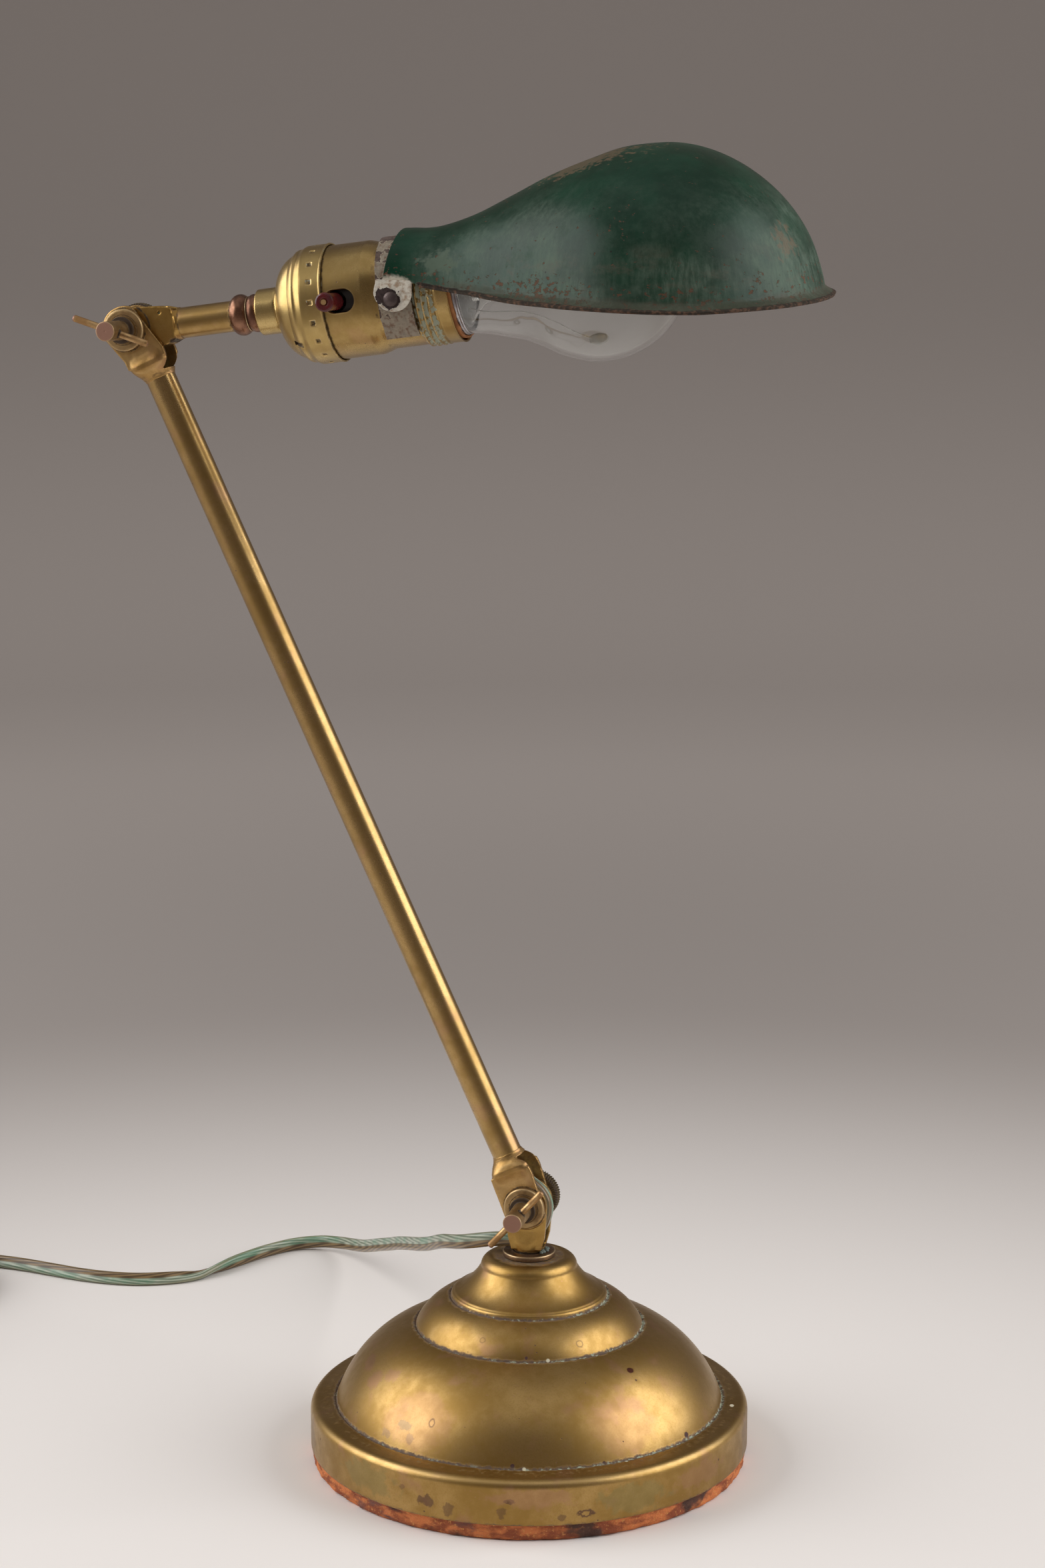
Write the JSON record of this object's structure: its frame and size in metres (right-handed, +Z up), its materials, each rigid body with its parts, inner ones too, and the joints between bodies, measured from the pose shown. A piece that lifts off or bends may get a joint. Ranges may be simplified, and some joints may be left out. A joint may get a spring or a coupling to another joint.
{
  "type": "adjustable desk lamp",
  "caption": "Adjustable brass desk lamp: weighted round base, swivelling stem, tilting tube arm and head, push-through lamp socket, clear bulb and clip-on green half shade.",
  "frame": {"origin": "centre of the base's flat underside, on the surface that the lamp stands on", "axes": "+Z up; +X the way the head points in the arm's plane; +Y away from the clamp screws' handles"},
  "size_m": [0.4345, 0.2678, 0.4491],
  "materials": {
    "aged_brass": "satin",
    "tube_brass": "satin",
    "fork_brass": "satin",
    "screw_brass": "satin",
    "dark_brass": "satin",
    "socket_brass": "satin",
    "bright_brass": "satin",
    "copper_ring": "satin",
    "rusty_iron": "rough rust",
    "plated_steel": "satin",
    "solder": "satin",
    "clear_cord": "clear PVC over tinned and copper strands",
    "fibre": "matt",
    "black_insulator": "gloss",
    "red_knob": "gloss",
    "painted_clip": "chipped grey paint over rust",
    "dark_rivet": "dark",
    "green_enamel": "worn gloss enamel, white inside",
    "clear_glass": "clear",
    "filament_wire": "matt",
    "black_plug": "satin",
    "black_tie": "matt"
  },
  "bodies": {
    "base": {"base_weight": "rusty_iron", "base_shell": "aged_brass", "base_collar": "dark_brass"},
    "stem": {"stem_fork": "fork_brass", "stem_locknut": "plated_steel", "stem_washer": "plated_steel", "cord_run": "clear_cord", "cord_coil": "clear_cord", "cord_tail": "clear_cord", "cord_tie": "black_tie", "plug_body": "black_plug", "plug_blades": "bright_brass"},
    "arm": {"arm_lower_fork": "fork_brass", "arm_tube": "tube_brass", "arm_upper_fork": "fork_brass", "arm_cord": "clear_cord", "lower_washer": "dark_brass", "lower_knurled_nut": "dark_brass", "upper_washer": "dark_brass", "upper_knurled_nut": "dark_brass", "lower_cord_loop": "clear_cord", "upper_cord_loop": "clear_cord"},
    "lower_screw": {"lower_screw_post": "screw_brass", "lower_cross_rod": "screw_brass"},
    "upper_screw": {"upper_screw_post": "screw_brass", "upper_cross_rod": "screw_brass"},
    "head": {"head_fork": "fork_brass", "head_tube": "tube_brass", "head_cord": "clear_cord", "coupling_ring": "copper_ring", "socket_cap": "socket_brass", "socket_shell": "socket_brass", "socket_liner": "fibre", "socket_body": "black_insulator", "lamp_screw_shell": "bright_brass", "centre_contact": "bright_brass", "terminal_screws": "bright_brass"},
    "switch": {"switch_rod": "bright_brass", "near_knob": "red_knob", "far_knob": "red_knob"},
    "clip": {"shade_clip": "painted_clip", "shade_rivets": "dark_rivet"},
    "shade": {"shade": "green_enamel", "shade_ears": "painted_clip"},
    "bulb": {"bulb_glass": "clear_glass", "bulb_cap": "plated_steel", "bulb_insulator": "black_insulator", "bulb_contact": "solder", "bulb_stem": "clear_glass", "bulb_filament": "filament_wire"}
  },
  "joints": [
    {"name": "stem_swivel", "type": "hinge", "parent": "base", "child": "stem", "pos_m": [0, 0, 0.0734], "axis": [0, 0, 1], "range_deg": [-170, 170]},
    {"name": "arm_lean", "type": "hinge", "parent": "stem", "child": "arm", "pos_m": [0, 0, 0.091], "axis": [0, 1, 0], "range_deg": [-50, 75], "deforming": ["lower_cord_loop"]},
    {"name": "head_tilt", "type": "hinge", "parent": "arm", "child": "head", "pos_m": [-0.13861, 0, 0.38829], "axis": [0, 1, 0], "range_deg": [-80, 28], "deforming": ["upper_cord_loop"]},
    {"name": "lower_screw_turn", "type": "hinge", "parent": "arm", "child": "lower_screw", "pos_m": [0, 0, 0.091], "axis": [0, -1, 0], "range_deg": [0, 360]},
    {"name": "upper_screw_turn", "type": "hinge", "parent": "arm", "child": "upper_screw", "pos_m": [-0.13861, 0, 0.38829], "axis": [0, -1, 0], "range_deg": [0, 360]},
    {"name": "switch_push", "type": "slide", "parent": "head", "child": "switch", "axis": [0, 1, 0], "range_m": [0, 0.008]},
    {"name": "clip_turn", "type": "hinge", "parent": "head", "child": "clip", "pos_m": [-0.0416, 0, 0.40071], "axis": [0.9919, 0, 0.1271], "range_deg": [-90, 90]},
    {"name": "shade_tilt", "type": "hinge", "parent": "clip", "child": "shade", "pos_m": [-0.0416, 0, 0.40071], "axis": [-0.0097, 0.9971, 0.0761], "range_deg": [-25, 0]},
    {"name": "bulb_unscrew", "type": "hinge", "parent": "head", "child": "bulb", "pos_m": [0.02307, 0, 0.409], "axis": [0.9919, 0, 0.1271], "range_deg": [0, 360]}
  ]
}
